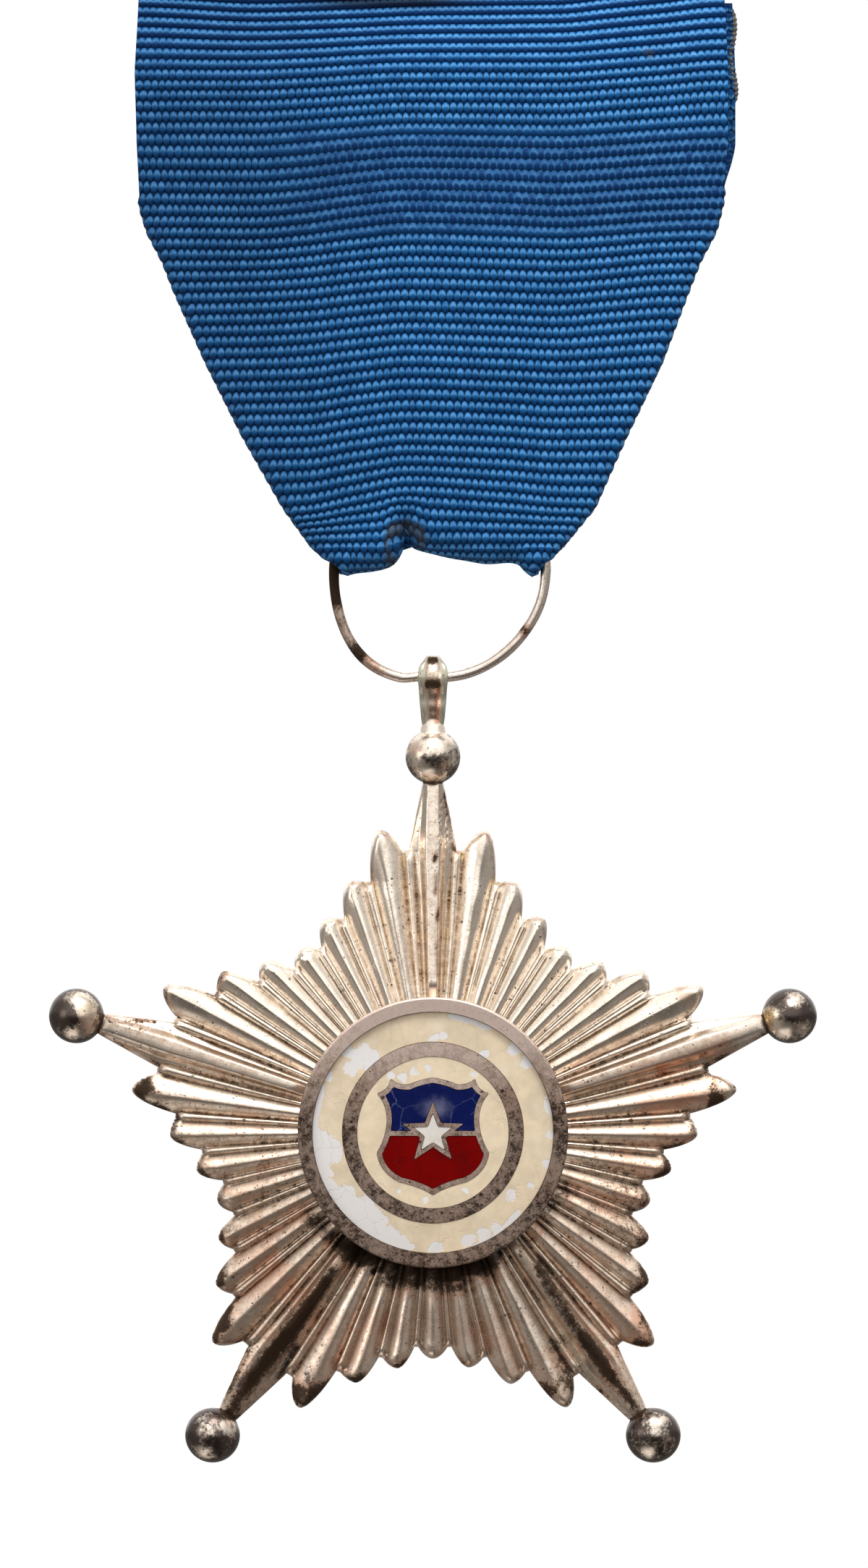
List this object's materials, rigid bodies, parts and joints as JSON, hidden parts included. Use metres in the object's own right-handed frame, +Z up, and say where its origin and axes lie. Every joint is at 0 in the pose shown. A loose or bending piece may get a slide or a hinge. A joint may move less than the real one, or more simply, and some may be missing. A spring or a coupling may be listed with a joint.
{
  "type": "service star medal on a ribbon",
  "caption": "Five-pointed service star with ball tips, rayed field and enamelled shield medallion, hung by a wire ring from a folded ribbed ribbon with a pin behind it.",
  "frame": {"origin": "middle of the brooch pin's wire behind the top of the ribbon, where the medal is pinned on", "axes": "+Z up, -Y is the front that the viewer sees, +X to the viewer's right"},
  "size_m": [0.0484, 0.008, 0.0987],
  "materials": {
    "ribbon": "matte",
    "pin_metal": "satin",
    "ring_metal": "satin",
    "star_metal": "satin",
    "medallion_metal": "satin",
    "cream_enamel": "gloss",
    "blue_enamel": "gloss",
    "red_enamel": "gloss",
    "white_enamel": "gloss"
  },
  "bodies": {
    "ribbon_drop": {"ribbon": "ribbon", "brooch_pin": "pin_metal", "ring": "ring_metal"},
    "star_drop": {"star": "star_metal", "medallion": "medallion_metal", "enamel_border": "cream_enamel", "enamel_field": "cream_enamel", "enamel_chief": "blue_enamel", "enamel_base": "red_enamel", "enamel_star": "white_enamel"}
  },
  "joints": [
    {"name": "star_swing", "type": "hinge", "parent": "ribbon_drop", "child": "star_drop", "pos_m": [0, -0.004, -0.04553], "axis": [1, 0, 0], "range_deg": [-150, 150]}
  ]
}
